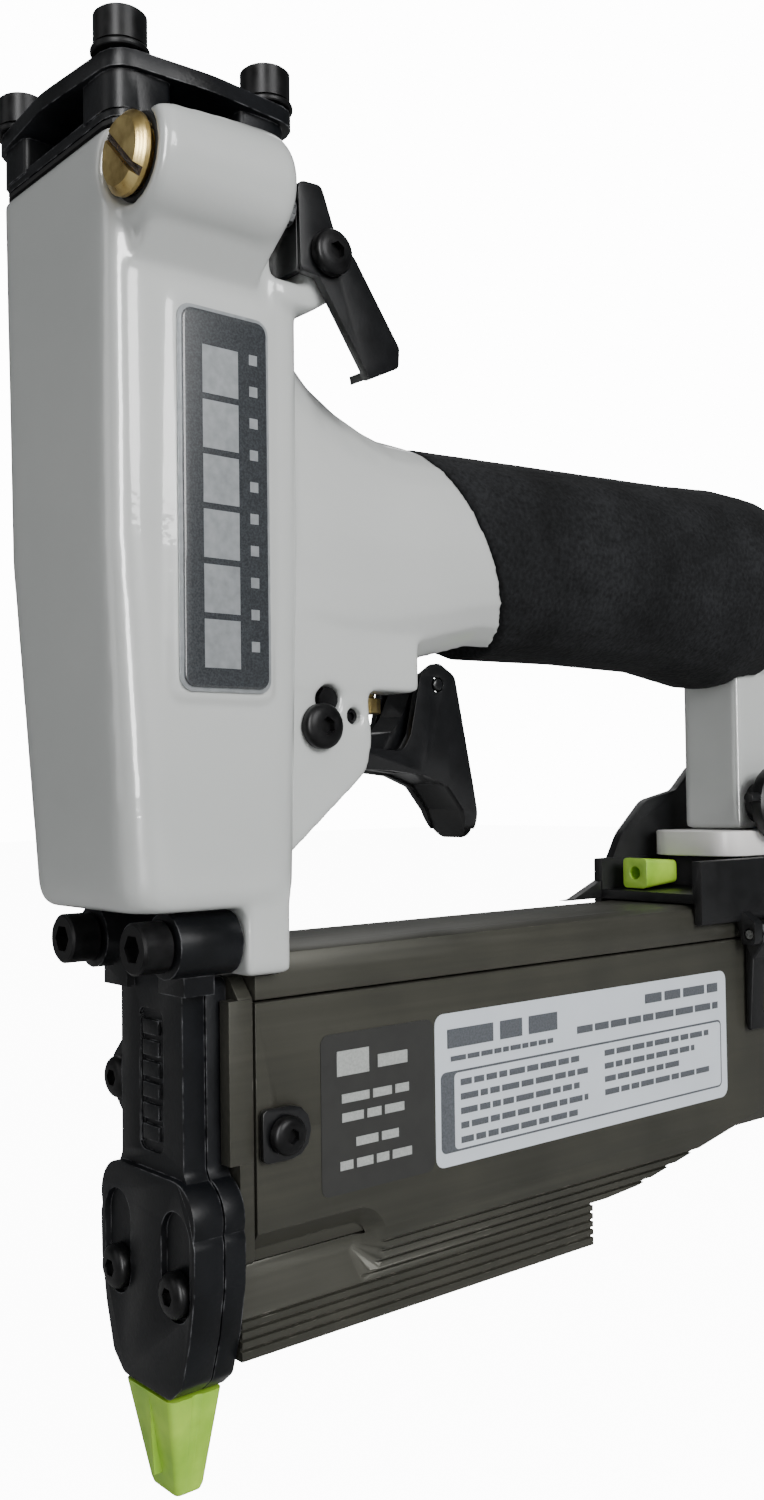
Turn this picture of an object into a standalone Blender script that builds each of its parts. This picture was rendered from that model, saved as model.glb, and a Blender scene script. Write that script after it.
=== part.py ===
"""Pneumatic pin nailer, modelled in its working pieces. Metres, +Z up.

+X points to the back of the handle, -Y to the tool's left, and the pins leave along -Z. The origin
is the work face of the nose tip. Sizes below are in millimetres, and MM turns them to metres.
"""
import math

import bmesh
import bpy
from mathutils import Matrix, Vector

MM = 0.001
GAP = 0.3              # play between pieces that touch
DRIVE_X = -0.65        # the drive axis: cylinder, piston and driver blade
HALF_MAGAZINE = 12.8   # half of the magazine's width
COVER_FRONT = 7.6      # front edge of the sliding cover
MAGAZINE_END = 165.0
PANEL_TOP = 78.3       # top of the sliding cover's panel
RAIL_TOP = 86.6
GRIP_TOP = 36.0        # top of the ribbed lower grip
COVER_BOTTOM = 22.0
HOUSING_TOP = 211.4
CYLINDER_BOTTOM = 104.0
CYLINDER_TOP = 192.0
BORE = 8.5             # cylinder bore radius
STROKE = 76.0
TRIGGER_PIN = (24.0, 127.9)
LEVER_RIVET = (54.4, 132.0)
VALVE_X = 39.2
DUSTER_Y, DUSTER_Z = -22.3, 205.2
DUSTER_PIVOT = (16.6, 199.2)
CAP_SCREWS = [(x, y) for x in (-17.7, 8.8) for y in (-16.5, 16.5)]
NOSE_BOLT_Y, NOSE_BOLT_Z = 11.35, 88.6
NOSE_SCREW_Y, NOSE_SCREW_Z = 9.0, 34.1
HANDLE_Z = 158.8
HUB = (152.4, 108.3)      # X and Z of the hook hub

for old in list(bpy.data.objects):
    bpy.data.objects.remove(old, do_unlink=True)
PARTS = bpy.data.collections.new("pin_nailer")
CUTTERS = bpy.data.collections.new("cutters")
for group in (PARTS, CUTTERS):
    bpy.context.scene.collection.children.link(group)


def finish(name, colour, roughness, metallic=0.0):
    """A plain Principled material."""
    made = bpy.data.materials.new(name)
    made.use_nodes = True
    shader = made.node_tree.nodes["Principled BSDF"]
    shader.inputs["Base Color"].default_value = (*colour, 1)
    shader.inputs["Roughness"].default_value = roughness
    shader.inputs["Metallic"].default_value = metallic
    return made


PAINT = ("enamel", (0.58, 0.60, 0.58), 0.25)
BLACK_CAST = ("black_casting", (0.02, 0.02, 0.02), 0.42)
BLACK_STEEL = ("black_oxide_steel", (0.018, 0.018, 0.018), 0.38, 0.6)
BLACK_PLASTIC = ("black_plastic", (0.015, 0.015, 0.016), 0.5)
RUBBER = ("rubber", (0.013, 0.014, 0.014), 0.85)
SEAL = ("seal_rubber", (0.012, 0.012, 0.012), 0.6)
OLIVE = ("anodised_aluminium", (0.067, 0.067, 0.058), 0.4, 0.7)
ALUMINIUM = ("bare_aluminium", (0.6, 0.6, 0.6), 0.35, 1.0)
STEEL = ("steel", (0.55, 0.55, 0.54), 0.3, 1.0)
BRASS = ("brass", (0.58, 0.40, 0.14), 0.25, 1.0)
GREEN = ("green_urethane", (0.33, 0.57, 0.10), 0.45)
WHITE = ("ivory_plastic", (0.78, 0.75, 0.72), 0.4)
BUMPER = ("bumper_urethane", (0.5, 0.36, 0.1), 0.5)
BADGE = ("badge", (0.09, 0.10, 0.10), 0.15)


def new_object(name, mesh, group=PARTS):
    made = bpy.data.objects.new(name, mesh)
    group.objects.link(made)
    return made


def from_bmesh(name, work):
    """Scales a bmesh in millimetres to metres and makes an object of it."""
    bmesh.ops.scale(work, vec=Vector((MM, MM, MM)), verts=work.verts)
    bmesh.ops.recalc_face_normals(work, faces=work.faces)
    mesh = bpy.data.meshes.new(name)
    work.to_mesh(mesh)
    work.free()
    return new_object(name, mesh)


def box(name, x, y, z):
    """A block between the given (low, high) pairs."""
    work = bmesh.new()
    bmesh.ops.create_cube(work, size=1)
    low, high = Vector((x[0], y[0], z[0])), Vector((x[1], y[1], z[1]))
    bmesh.ops.transform(work, verts=work.verts,
                        matrix=Matrix.Translation((low + high) / 2) @ Matrix.Diagonal((*(high - low), 1)))
    return from_bmesh(name, work)


def lay(work, axis, place):
    """Turns a shape made along +Z onto the named axis, and moves it to its place."""
    turns = {"X": Matrix.Rotation(math.radians(90), 4, "Y"),
             "Y": Matrix.Rotation(math.radians(-90), 4, "X"), "Z": Matrix.Identity(4)}
    bmesh.ops.transform(work, verts=work.verts, matrix=Matrix.Translation(place) @ turns[axis])


def rod(name, axis, centre, radius, ends, end_radius=None, segments=20):
    """A cylinder, or a cone, along an axis. centre holds the other two coordinates, in order."""
    work = bmesh.new()
    length = ends[1] - ends[0]
    bmesh.ops.create_cone(work, cap_ends=True, segments=segments, radius1=radius,
                          radius2=radius if end_radius is None else end_radius, depth=length)
    place = list(centre)
    place.insert("XYZ".index(axis), (ends[0] + ends[1]) / 2)
    lay(work, axis, Vector(place))
    return from_bmesh(name, work)


def hexagon(name, axis, centre, across_flats, ends):
    return rod(name, axis, centre, across_flats / math.sqrt(3), ends, segments=6)


def replace_mesh(target):
    """Bakes an object's modifiers into its mesh."""
    graph = bpy.context.evaluated_depsgraph_get()
    mesh = bpy.data.meshes.new_from_object(target.evaluated_get(graph))
    target.modifiers.clear()
    target.data = mesh
    return target


def combine(target, other, operation):
    """A Boolean whose tool goes to the cutters' collection."""
    step = target.modifiers.new(operation.lower(), "BOOLEAN")
    step.operation = operation
    step.object = other
    replace_mesh(target)
    PARTS.objects.unlink(other)
    CUTTERS.objects.link(other)
    other.name = f"{target.name}_tool"
    other.hide_render = True
    other.display_type = "WIRE"
    return target


def cut(target, *tools):
    for tool in tools:
        combine(target, tool, "DIFFERENCE")
    return target


def fuse(target, *tools):
    for tool in tools:
        combine(target, tool, "UNION")
    return target


def keep(target, tool):
    return combine(target, tool, "INTERSECT")


def turned(name, axis, place, profile, segments=24, ring=False):
    """A turned piece: (radius, height) pairs run down its outer side and, on a ring, up its bore."""
    work = bmesh.new()
    corners = [work.verts.new((radius * MM, 0, height * MM)) for radius, height in profile]
    pairs = list(zip(corners, corners[1:]))
    if ring:
        pairs.append((corners[-1], corners[0]))
    for pair in pairs:
        work.edges.new(pair)
    mesh = bpy.data.meshes.new(name)
    work.to_mesh(mesh)
    work.free()
    made = new_object(name, mesh)
    screw = made.modifiers.new("turn", "SCREW")
    screw.steps = screw.render_steps = segments
    screw.use_merge_vertices = True
    screw.merge_threshold = 0.00001
    replace_mesh(made)
    work = bmesh.new()
    work.from_mesh(made.data)
    lay(work, axis, Vector(place) * MM)
    bmesh.ops.recalc_face_normals(work, faces=work.faces)
    work.to_mesh(made.data)
    work.free()
    return made


def rounded(points, radius, steps=3):
    """The outline with each corner swapped for an arc; a point's third value is its own radius."""
    made = []
    for index, corner in enumerate(points):
        here = Vector(corner[:2])
        before = Vector(points[index - 1][:2])
        after = Vector(points[(index + 1) % len(points)][:2])
        to_before, to_after = (before - here).normalized(), (after - here).normalized()
        turn = to_before.angle(to_after)
        size = corner[2] if len(corner) > 2 else radius
        reach = min(size / math.tan(turn / 2), 0.45 * (before - here).length, 0.45 * (after - here).length)
        if size <= 0 or reach < 0.05 or turn > math.radians(172):
            made.append(tuple(here))
            continue
        size = reach * math.tan(turn / 2)
        centre = here + (to_before + to_after).normalized() * (size / math.sin(turn / 2))
        start = here + to_before * reach - centre
        sweep = math.pi - turn
        side = 1 if start.cross(here + to_after * reach - centre) > 0 else -1
        for step in range(steps + 1):
            spin = Matrix.Rotation(side * sweep * step / steps, 2)
            made.append(tuple(centre + spin @ start))
    return made


def plate(name, plane, outline, ends, radius=0.0, steps=3):
    """A flat outline in the XZ, YZ or XY plane, as a filled curve, given its thickness along the third."""
    curve = bpy.data.curves.new(name, "CURVE")
    curve.dimensions = "2D"
    curve.fill_mode = "BOTH"
    curve.extrude = (ends[1] - ends[0]) / 2 * MM
    points = rounded(outline, radius, steps)
    line = curve.splines.new("POLY")
    line.points.add(len(points) - 1)
    for point, (across, up) in zip(line.points, points):
        point.co = (across * MM, up * MM, 0, 1)
    line.use_cyclic_u = True
    guide = new_object(name, curve)
    middle = (ends[0] + ends[1]) / 2 * MM
    turns = {"XZ": Matrix.Translation((0, middle, 0)) @ Matrix.Rotation(math.radians(90), 4, "X"),
             "YZ": Matrix.Translation((middle, 0, 0)) @ Matrix(((0, 0, 1, 0), (1, 0, 0, 0), (0, 1, 0, 0), (0, 0, 0, 1))),
             "XY": Matrix.Translation((0, 0, middle))}
    graph = bpy.context.evaluated_depsgraph_get()
    mesh = bpy.data.meshes.new_from_object(guide.evaluated_get(graph))
    bpy.data.objects.remove(guide)
    work = bmesh.new()
    work.from_mesh(mesh)
    bmesh.ops.transform(work, verts=work.verts, matrix=turns[plane])
    bmesh.ops.remove_doubles(work, verts=work.verts, dist=0.000002)
    bmesh.ops.recalc_face_normals(work, faces=work.faces)
    work.to_mesh(mesh)
    work.free()
    return new_object(name, mesh)


def loft(name, rings):
    """A closed skin over rings of points, with flat ends."""
    work = bmesh.new()
    rows = [[work.verts.new(point) for point in ring] for ring in rings]
    for row, following in zip(rows, rows[1:]):
        for index in range(len(row)):
            after = (index + 1) % len(row)
            work.faces.new((row[index], row[after], following[after], following[index]))
    work.faces.new(rows[0])
    work.faces.new(rows[-1])
    return from_bmesh(name, work)


def upright_ring(height, front, rear, half, radius):
    """A rounded rectangle across the barrel."""
    corners = [(front, -half), (rear, -half), (rear, half), (front, half)]
    return [(x, y, height) for x, y in rounded(corners, radius, 4)]


def grip_ring(place, low, high, half, power=2.2, count=24):
    """A rounded section across the handle."""
    middle, rise = (low + high) / 2, (high - low) / 2

    def ease(value):
        return math.copysign(abs(value) ** (2 / power), value)

    angles = [2 * math.pi * step / count for step in range(count)]
    return [(place, half * ease(math.cos(turn)), middle + rise * ease(math.sin(turn))) for turn in angles]


def set_look(part, look):
    """Gives a piece its material, and smooth shading on its round faces."""
    made = bpy.data.materials.get(look[0]) or finish(*look)
    part.data.materials.clear()
    part.data.materials.append(made)
    part.data.shade_smooth()
    part.data.set_sharp_from_angle(angle=math.radians(32))
    return part


def pivot_at(part, x, y, z):
    """Puts a moving piece's origin on its joint's axis."""
    place = Vector((x, y, z)) * MM
    part.data.transform(Matrix.Translation(-place))
    part.location = place
    return part


def socket_screw(name, axis, centre, seat, direction, head, shank, look=BLACK_STEEL, hex_size=4.0):
    """A screw: head (radius, height) on its seat, and shank (radius, length) beyond it."""
    head_end = seat + direction * head[1]
    screw = rod(name, axis, centre, head[0], sorted((seat, head_end)), segments=20)
    tip = seat - direction * shank[1]
    fuse(screw, rod("shank", axis, centre, shank[0], sorted((seat + direction * head[1] / 2, tip)), segments=12))
    deep = head_end - direction * head[1] * 0.55
    cut(screw, hexagon("hex", axis, centre, hex_size, sorted((deep, head_end + direction))))
    return set_look(screw, look)


# The housing: one painted casting with barrel, handle, duster boss, trigger cheeks and rear leg.
barrel = loft("housing", [upright_ring(*ring) for ring in (
    (94.0, -15.2, 12.6, 16.4, 5.6), (95.0, -16.4, 13.8, 17.6, 6.0), (97.0, -17.1, 14.5, 18.1, 6.2),
    (150.6, -20.4, 14.7, 18.8, 4.4), (194.0, -20.8, 14.2, 19.3, 4.0), (HOUSING_TOP, -20.9, 13.6, 19.5, 3.8))])
GRIP_RINGS = ((10, 128, 206, 14.2), (14, 128, 197.5, 14.6), (18, 128.2, 191, 15.0), (23, 128.8, 185.4, 15.4),
              (29, 129.8, 181.4, 15.7), (35, 131.2, 178.6, 16.2), (40, 132.4, 177.0, 16.7), (48, 134.5, 176.5, 17.3),
              (60, 137.6, 176.9, 17.8), (96, 138.1, 178.4, 18.2), (122, 137.6, 179.6, 18.6), (140, 134.8, 180.9, 19.0),
              (152, 135.6, 180.6, 18.8), (164, 139.0, 177.5, 17.8), (176, 144.0, 173.9, 15.2))
grip_outer = loft("grip_sleeve", [grip_ring(*ring) for ring in GRIP_RINGS])
SLEEVE_ZONE = [(40.9, 190), (76.6, 120), (147.0, 120), (147.2, 131.1), (176.6, 163.5), (176.6, 190)]
SLEEVE_ENDS = [(41.4, 190), (77.1, 120), (146.5, 120), (146.7, 131.3), (176.1, 163.7), (176.1, 190)]
CORE_RINGS = ((36, 141.5, 174.2, 13.6), (57, 141.4, 174.2, 14.4), (122, 141.4, 175.6, 15.2), (150, 142.2, 176.2, 15.2),
              (166, 143.6, 173.6, 15.0), (176, 144.3, 172.2, 14.6))
SLEEVE_BORE = ((34, 141.2, 174.5, 13.9), (57, 141.1, 174.5, 14.7), (122, 141.1, 175.9, 15.5), (150, 141.9, 176.5, 15.5),
               (166, 143.3, 173.9, 15.3), (178, 144.0, 172.5, 14.9))
housing_grip = loft("neck", [grip_ring(*ring) for ring in GRIP_RINGS])
cut(housing_grip, plate("zone", "XZ", SLEEVE_ZONE, (-30, 30)))
fuse(housing_grip, loft("core", [grip_ring(*ring) for ring in CORE_RINGS]))
fuse(barrel, housing_grip)
duster_boss = turned("duster_boss", "X", (0, DUSTER_Y, DUSTER_Z), [
    (0, 5.4), (6.6, 5.4), (8.5, 4.7), (9.4, 2.8), (9.4, -18.2), (8.4, -19.4), (0, -19.4)], 32)
cut(duster_boss, plate("boss_slope", "XZ", [(-40, 209.6), (-19.4, 210.4), (6.6, 214.6), (20, 216), (20, 240), (-40, 240)], (-60, 0)),
    box("cap_room", (-40, 20), (-20.0, 0), (HOUSING_TOP, 240)))
CHEEK = [(9, 97.5, 0), (13, 99.5), (32.6, 115.5), (33.8, 121), (33.0, 129.3), (33, 136, 0), (9, 136, 0)]
fuse(barrel,
     duster_boss,
     plate("lever_lug", "XZ", [(8, 190.5), (15.5, 190.5), (20.5, 193.8), (22.6, 199), (21, 204), (15, 205), (8, 200)],
           (-20.4, -11.5), 2.0),
     plate("badge_pad", "XZ", [(-11.2, 126.4), (7.4, 126.4), (7.4, 187.8), (-11.2, 187.8)], (-19.5, -15.0), 1.8),
     plate("cheeks", "XZ", CHEEK, (-12.2, 12.2), 4.0),
     plate("valve_block", "XZ", [(11, 129.6), (44.3, 129.6), (44.3, 147), (11, 147)], (-12.7, 12.7), 1.0))

LEG = [(146.6, 102.4, 0), (146.6, 143, 0), (170, 146, 0), (172, 134, 6), (168.5, 102.4, 0)]
fuse(barrel, plate("rear_leg", "XZ", LEG, (-8, 8)))
for side in (-1, 1):
    fuse(barrel, plate("nose_leg", "YZ", [(5.6 * side, 96, 0), (5.6 * side, 83.1), (17.2 * side, 83.1), (17.4 * side, 98, 0)],
                       (3.4, 11.9), 1.2))
    cut(barrel, rod("bolt_hole", "X", (NOSE_BOLT_Y * side, NOSE_BOLT_Z), 2.8, (0, 10.6), segments=12))
cut(barrel,
    rod("cylinder_bore", "Z", (DRIVE_X, 0), 10.4, (97.0, 240), segments=28),
    rod("head_valve_bore", "Z", (DRIVE_X, 0), 13.4, (CYLINDER_TOP - 6, 240), segments=28),
    box("driver_hole", (-2.2, 0.9), (-1.7, 1.7), (90, 99)),
    rod("reservoir", "X", (0, HANDLE_Z), 11.0, (60, 190), segments=20),
    rod("air_way", "X", (0, HANDLE_Z), 7.6, (5, 62), segments=16),
    rod("trigger_valve_bore", "Z", (VALVE_X, 0), 4.1, (120, HANDLE_Z), segments=16),
    rod("trigger_pin_hole", "Y", (TRIGGER_PIN[0], TRIGGER_PIN[1]), 2.6, (-20, 20), segments=14),
    rod("retainer_hole", "Y", (21.7, 123.2), 1.9, (-20, -8), segments=10),
    rod("roll_pin_hole", "Y", (29.7, 125.2), 1.5, (-20, 20), segments=10),
    box("trigger_bay", (19.4, 66.0), (-6.8, 6.8), (100, 129.0)),
    box("pin_bay", (19.9, 33.1), (-6.6, 6.6), (121, 132.6)),
    box("ear_bay", (47.0, 69.0), (-6.9, 6.9), (100, 142.5)),
    box("lever_bay", (7.8, 13.7), (-26, -13.2), (194.6, 230)),
    rod("nozzle_bore", "X", (DUSTER_Y, DUSTER_Z), 4.8, (-30, -9.5), segments=20),
    rod("plunger_bore", "X", (DUSTER_Y + 2, DUSTER_Z), 1.9, (-10, 20), segments=12),
    rod("lever_screw_hole", "Y", DUSTER_PIVOT, 1.7, (-30, -13.5), segments=12))
for place in CAP_SCREWS:
    cut(barrel, rod("cap_screw_hole", "Z", place, 2.1, (209.9, 240), segments=12))
for across in (-5.5, 5.5):
    cut(barrel, rod("foot_screw_hole", "Z", (160, across), 1.8, (92, 116), segments=10))
cut(barrel, rod("hub_screw_hole", "Y", HUB, 1.9, (-20, 3), segments=10))
set_look(barrel, PAINT)

# The grip sleeve is the outer handle between its two slanted ends, less the core inside.
keep(grip_outer, plate("sleeve_zone", "XZ", SLEEVE_ENDS, (-30, 30)))
cut(grip_outer, loft("bore", [grip_ring(*ring) for ring in SLEEVE_BORE]))
cut(grip_outer, plate("leg_gap", "XZ", [(146.2, 120), (146.2, 146), (180, 148), (180, 120)], (-8.4, 8.4)))
set_look(grip_outer, RUBBER)

# The drive group.
cylinder = turned("cylinder", "Z", (DRIVE_X, 0, 0), [
    (BORE, CYLINDER_TOP), (10.0, CYLINDER_TOP), (10.0, 97.4), (BORE, 97.4)], 28, ring=True)
set_look(cylinder, ALUMINIUM)
piston_base = CYLINDER_BOTTOM + STROKE
piston = turned("piston", "Z", (DRIVE_X, 0, 0), [
    (0, piston_base + 9), (8.1, piston_base + 9), (8.1, piston_base + 6.6), (6.6, piston_base + 6.6),
    (6.6, piston_base + 3.4), (8.1, piston_base + 3.4), (8.1, piston_base), (0, piston_base)], 24)
set_look(pivot_at(piston, DRIVE_X, 0, piston_base), STEEL)
piston_seal = turned("piston_seal", "Z", (DRIVE_X, 0, piston_base + 5), [
    (8.2, 0.8), (8.25, 0), (8.2, -0.8), (7.6, -1.2), (7.0, 0), (7.6, 1.2)], 24, ring=True)
set_look(piston_seal, SEAL)
blade = box("driver_blade", (-1.0, -0.3), (-0.65, 0.65), (77, piston_base - 3.2))
fuse(blade, rod("blade_head", "Z", (DRIVE_X, 0), 1.9, (piston_base - 4, piston_base - GAP), segments=12))
cut(barrel, rod("blade_head_way", "Z", (DRIVE_X, 0), 2.2, (90, 99), segments=12))
set_look(blade, STEEL)
bumper = turned("bumper", "Z", (DRIVE_X, 0, 0), [
    (8.2, 103.7), (8.2, 97.3), (2.4, 97.3), (2.4, 103.7)], 24, ring=True)
set_look(bumper, BUMPER)
head_valve = turned("head_valve", "Z", (DRIVE_X, 0, 0), [
    (0, 200.5), (4.0, 200.5), (4.0, 206.0), (10.5, 206.0), (12.9, 204.6), (12.9, 197.4), (10.6, 195.8),
    (10.6, 192.5), (0, 192.5)], 28)
set_look(head_valve, BLACK_PLASTIC)


def coil(name, centre, low, high, radius, wire, turns, look=STEEL, per_turn=12):
    """A round-wire spring along Z."""
    curve = bpy.data.curves.new(name, "CURVE")
    curve.dimensions = "3D"
    curve.bevel_depth = wire / 2 * MM
    curve.bevel_resolution = 1
    curve.use_fill_caps = True
    line = curve.splines.new("POLY")
    count = turns * per_turn
    line.points.add(count)
    rise = high - low - wire
    for step, point in enumerate(line.points):
        turn = 2 * math.pi * step / per_turn
        point.co = ((centre[0] + radius * math.cos(turn)) * MM, (centre[1] + radius * math.sin(turn)) * MM,
                    (low + wire / 2 + rise * step / count) * MM, 1)
    guide = new_object(name, curve)
    graph = bpy.context.evaluated_depsgraph_get()
    mesh = bpy.data.meshes.new_from_object(guide.evaluated_get(graph))
    bpy.data.objects.remove(guide)
    work = bmesh.new()
    work.from_mesh(mesh)
    bmesh.ops.remove_doubles(work, verts=work.verts, dist=0.000002)
    bmesh.ops.recalc_face_normals(work, faces=work.faces)
    work.to_mesh(mesh)
    work.free()
    return set_look(new_object(name, mesh), look)


coil("head_valve_spring", (DRIVE_X, 0), 206.5, 219.0, 6.0, 1.0, 4)

# The cap: rim, drum, corner posts and top plate in one casting, on its gasket, with four screws.
CAP_EDGE = [(-20.3, -19.7, 4.2), (12.9, -19.7, 4.2), (12.9, 19.7, 4.2), (-20.3, 19.7, 4.2)]
TOP_EDGE = [(-20.9, -20.3, 4.2), (-4.4, -21.6, 30), (12.7, -20.3, 4.2), (14.2, 0, 30), (12.7, 20.3, 4.2),
            (-4.4, 21.6, 30), (-20.9, 20.3, 4.2), (-22.6, 0, 30)]
gasket = plate("cap_gasket", "XY", CAP_EDGE, (211.7, 212.4), 8)
cut(gasket, rod("gasket_hole", "Z", (DRIVE_X, 0), 13.6, (208, 218), segments=28))
cap = plate("top_cap", "XY", CAP_EDGE, (212.7, 214.4), 8)
fuse(cap, rod("drum", "Z", (DRIVE_X, 0), 13.0, (213.8, 220.4), segments=28),
     plate("top_plate", "XY", TOP_EDGE, (219.6, 222.2), 4.2))
for x, y in CAP_SCREWS:
    inner_x, inner_y = x + math.copysign(7.0, -x - 4.4), y - math.copysign(7.0, y)
    outer_x, outer_y = x - math.copysign(2.9, -x - 4.4), y + math.copysign(3.2, y)
    fuse(cap, plate("post", "XY", [(inner_x, inner_y, 0), (outer_x, inner_y, 1), (outer_x, outer_y, 3.8), (inner_x, outer_y, 1)],
                    (213.8, 220.4)))
cut(cap, turned("cap_cavity", "Z", (DRIVE_X, 0, 0), [(0, 219.4), (9.6, 219.4), (11.4, 216.8), (13.2, 214.6), (13.2, 208), (0, 208)], 28))
for index, (x, y) in enumerate(CAP_SCREWS):
    for part in (gasket, cap):
        cut(part, rod("screw_way", "Z", (x, y), 2.1, (208, 230), segments=12))
    screw = socket_screw(f"cap_screw_{index + 1}", "Z", (x, y), 223.9, 1, (4.25, 5.0), (1.8, 13.2))
    fuse(screw, rod("lock_washer", "Z", (x, y), 4.5, (222.5, 223.6), segments=20),
         rod("washer_neck", "Z", (x, y), 3.6, (223.4, 224.2), segments=20))
set_look(gasket, SEAL)
set_look(cap, BLACK_CAST)

# The air duster on the barrel's left: slotted nozzle, seal, plunger and the bent lever that presses it.
SLOT = [(DUSTER_Y + y, DUSTER_Z + z) for y, z in ((-5.4, -6.2), (6.2, 5.2), (5.4, 6.2), (-6.2, -5.2))]
nozzle = turned("duster_nozzle", "X", (0, DUSTER_Y, DUSTER_Z), [
    (0, -12.0), (4.4, -12.0), (4.4, -18.6), (6.2, -18.6), (6.2, -20.9), (5.7, -21.4), (0, -21.4)], 28)
cut(nozzle, plate("nozzle_slot", "YZ", SLOT, (-24, -20.1)),
    rod("nozzle_hole", "X", (DUSTER_Y, DUSTER_Z), 1.1, (-26, -10), segments=10))
set_look(nozzle, BRASS)
duster_seal = turned("duster_seal", "X", (0, DUSTER_Y, DUSTER_Z), [
    (6.3, -17.7), (6.5, -18.0), (6.3, -18.3), (4.7, -18.3), (4.7, -17.7)], 24, ring=True)
cut(barrel, rod("seal_seat", "X", (DUSTER_Y, DUSTER_Z), 6.9, (-30, -17.4), segments=24))
set_look(duster_seal, SEAL)
plunger = rod("duster_plunger", "X", (DUSTER_Y + 2, DUSTER_Z), 1.6, (-9.0, 9.8), segments=12)
fuse(plunger, rod("plunger_head", "X", (DUSTER_Y + 2, DUSTER_Z), 2.6, (9.1, 10.2), segments=14))
set_look(pivot_at(plunger, 10.2, DUSTER_Y + 2, DUSTER_Z), STEEL)
LEVER = [(10.6, 209.9), (15.3, 210.2), (17.9, 203.4, 2.5), (22.2, 199.8), (31.6, 186.9), (31.4, 183.4), (24.8, 180.2),
         (24.0, 181.9), (14.7, 195.2), (11.0, 195.4)]
lever = plate("duster_lever", "XZ", LEVER, (-22.8, -21.2), 1.2)
fuse(lever, box("lever_flange", (10.7, 12.1), (-22.0, -13.8), (195.6, 209.0)),
     plate("lever_lip", "XZ", [(24.6, 181.9), (31.0, 184.9), (31.3, 183.5), (24.9, 180.5)], (-22.2, -17.8)))
cut(lever, rod("lever_bore", "Y", DUSTER_PIVOT, 1.9, (-30, -10), segments=12))
set_look(pivot_at(lever, DUSTER_PIVOT[0], -21.5, DUSTER_PIVOT[1]), BLACK_STEEL)
socket_screw("duster_lever_screw", "Y", DUSTER_PIVOT, -23.1, -1, (3.7, 2.2), (1.5, 8.6), hex_size=2.4)

# The trigger: a pressed channel on its pin, with a safety lever riveted between its ears.
WALL = [(20.4, 129.0), (24, 132.0), (27.8, 129.0), (31, 123.4), (38.5, 119.9), (45.6, 119.4), (47.6, 122.5),
        (50.2, 133.6), (54.4, 136.4), (58.9, 133.8), (63.3, 113.5), (64.4, 107.9), (64.9, 103.6), (62.8, 102.0),
        (60.8, 108.2), (56.8, 112.9), (51.2, 115.0), (42.6, 115.9), (33.6, 116.2), (26.5, 119.0), (21.6, 123.5)]
trigger = plate("trigger", "XZ", WALL, (-6.2, -4.7), 2.2)
fuse(trigger, plate("far_wall", "XZ", WALL, (4.7, 6.2), 2.2),
     plate("finger_web", "XZ", [(34.2, 116.6), (42.8, 116.3), (51.4, 115.4), (57.2, 113.3), (61.2, 108.5), (63.2, 102.8),
                                (64.4, 103.2), (63.1, 109.1), (58.5, 114.7), (51.9, 117.1), (42.9, 117.9), (34.2, 118.2)],
           (-5.2, 5.2), 0.8))
cut(trigger, rod("pin_bore", "Y", TRIGGER_PIN, 2.3, (-12, 12), segments=14),
    rod("rivet_bore", "Y", LEVER_RIVET, 1.5, (-12, 12), segments=12),
    box("web_slot", (43, 50), (-1.6, 1.6), (112, 120)))
set_look(pivot_at(trigger, TRIGGER_PIN[0], 0, TRIGGER_PIN[1]), BLACK_STEEL)
set_look(rod("trigger_pin", "Y", TRIGGER_PIN, 2.0, (-11.9, 11.9), segments=14), STEEL)
socket_screw("trigger_pin_screw", "Y", (21.7, 123.2), -12.5, -1, (3.9, 2.2), (1.6, 2.9), hex_size=2.5)
rivet = rod("lever_rivet", "Y", LEVER_RIVET, 1.2, (-6.6, 6.6), segments=12)
set_look(rivet, BLACK_STEEL)
SAFETY = [(35.5, 119.2), (46.5, 120.0), (56.0, 129.8), (57.2, 133.0), (53.7, 134.6), (50.8, 131.8), (48.0, 126.0),
          (45.4, 123.0), (35.5, 121.6)]
safety = plate("valve_lever", "XZ", SAFETY, (-3.2, 3.2), 0.9)
cut(safety, rod("lever_eye", "Y", LEVER_RIVET, 1.5, (-9, 9), segments=12))
set_look(safety, STEEL)

# The trigger valve in its bore above the trigger.
valve = turned("trigger_valve_body", "Z", (VALVE_X, 0, 0), [
    (1.5, 146), (3.8, 146), (3.8, 129.3), (4.9, 129.0), (4.9, 126.4), (1.5, 126.4)], 20, ring=True)
set_look(valve, BRASS)
stem = turned("trigger_valve_stem", "Z", (VALVE_X, 0, 0), [
    (0, 150.5), (3.0, 150.5), (3.0, 146.4), (1.2, 146.4), (1.2, 124.4), (0, 124.4)], 16)
set_look(stem, STEEL)
coil("trigger_valve_spring", (VALVE_X, 0), 151.0, HANDLE_Z - 1.0, 2.4, 0.5, 4)

# The nose: front and rear plates with the driver channel between them, on two long bolts.
NOSE = [(0, 17.2), (7.2, 17.2), (10.6, 20.0), (13.0, 27.5), (14.4, 35.0), (14.6, 42.0), (13.0, 47.0), (9.6, 52.5),
        (9.5, 79.0), (9.5, 83.8), (0, 83.8)]


def both_sides(half):
    return [(-y, z) for y, z in reversed(half[1:-1])] + [(y, z) for y, z in half[1:-1]]


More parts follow.
